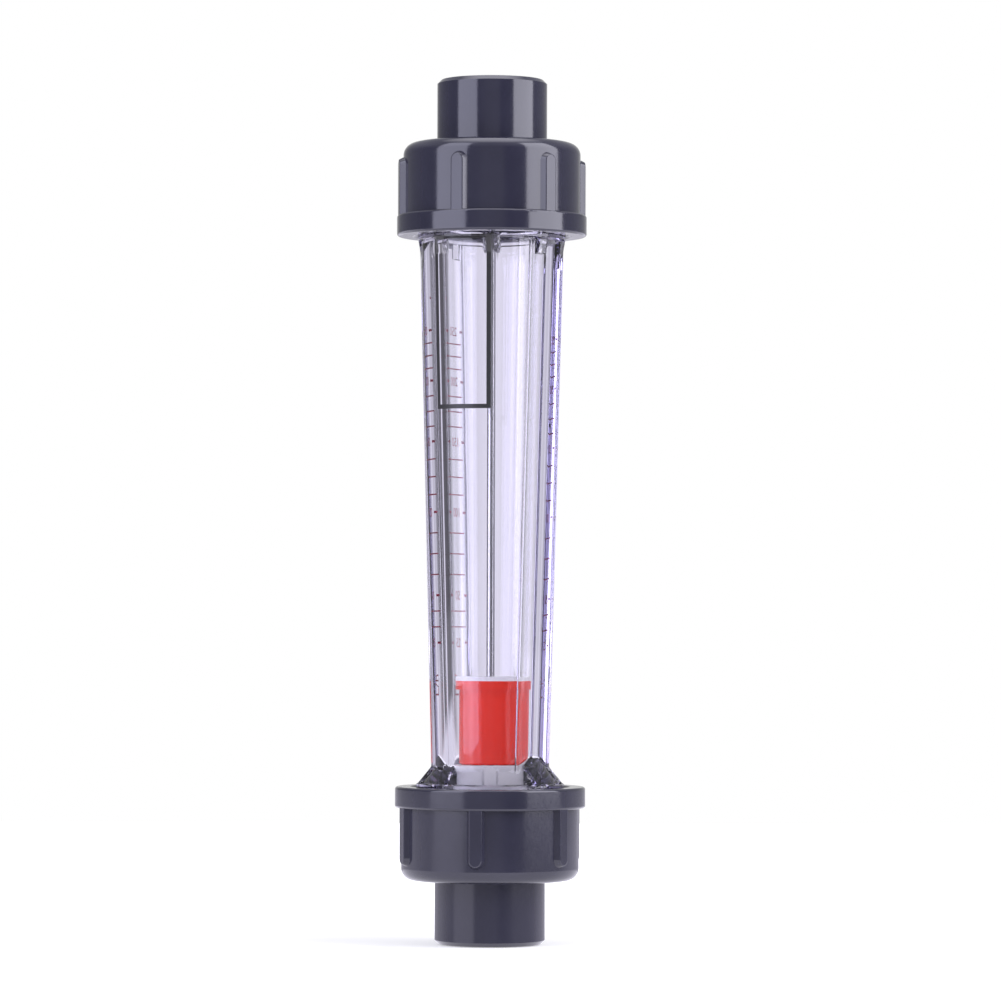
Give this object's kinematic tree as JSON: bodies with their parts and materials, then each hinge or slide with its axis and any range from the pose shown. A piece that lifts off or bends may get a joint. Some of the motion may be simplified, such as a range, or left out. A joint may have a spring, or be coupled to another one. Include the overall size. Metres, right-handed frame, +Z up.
{
  "type": "rotameter",
  "caption": "Inline rotameter: clear tapered tube with a red float on a guide rod, and a ribbed union nut with a socket tailpiece at each end.",
  "frame": {"origin": "centre of the lower tailpiece's end face, on the tube's axis, where the meter stands", "axes": "+Z up along the tube, in the direction of flow; -Y is the front, with the printed panel"},
  "size_m": [0.044, 0.044, 0.2],
  "materials": {
    "clear_plastic": "clear, polished",
    "dark_grey_plastic": "glossy moulded",
    "seal_rubber": "matte",
    "white_plastic": "satin",
    "stainless_steel": "drawn",
    "red_plastic": "glossy moulded"
  },
  "bodies": {
    "tube": {"metering_tube": "clear_plastic", "lower_seal_ring": "seal_rubber", "upper_seal_ring": "seal_rubber", "lower_rod_holder": "white_plastic", "upper_rod_holder": "white_plastic", "lower_rod_nut": "stainless_steel", "upper_rod_nut": "stainless_steel", "guide_rod": "stainless_steel", "lower_stop_liner": "white_plastic", "upper_stop_sleeve": "white_plastic"},
    "float": {"float_body": "red_plastic", "float_ballast": "stainless_steel", "float_cap": "white_plastic"},
    "lower_tailpiece": {"lower_tailpiece": "dark_grey_plastic"},
    "lower_nut": {"lower_union_nut": "dark_grey_plastic"},
    "upper_tailpiece": {"upper_tailpiece": "dark_grey_plastic"},
    "upper_nut": {"upper_union_nut": "dark_grey_plastic"}
  },
  "joints": [
    {"name": "float_slide", "type": "slide", "parent": "tube", "child": "float", "axis": [0, 0, 1], "range_m": [0, 0.1041]},
    {"name": "lower_union_travel", "type": "slide", "parent": "tube", "child": "lower_tailpiece", "axis": [0, 0, -1], "range_m": [0, 0.012]},
    {"name": "lower_nut_turn", "type": "hinge", "parent": "lower_tailpiece", "child": "lower_nut", "pos_m": [0, 0, 0.0255], "axis": [0, 0, -1], "range_deg": [0, 1440]},
    {"name": "upper_union_travel", "type": "slide", "parent": "tube", "child": "upper_tailpiece", "axis": [0, 0, 1], "range_m": [0, 0.012]},
    {"name": "upper_nut_turn", "type": "hinge", "parent": "upper_tailpiece", "child": "upper_nut", "pos_m": [0, 0, 0.1745], "axis": [0, 0, 1], "range_deg": [0, 1440]}
  ],
  "couplings": [
    {"joint": "lower_union_travel", "follows": "lower_nut_turn", "m_per_rad": 0.00047746},
    {"joint": "upper_union_travel", "follows": "upper_nut_turn", "m_per_rad": 0.00047746}
  ]
}
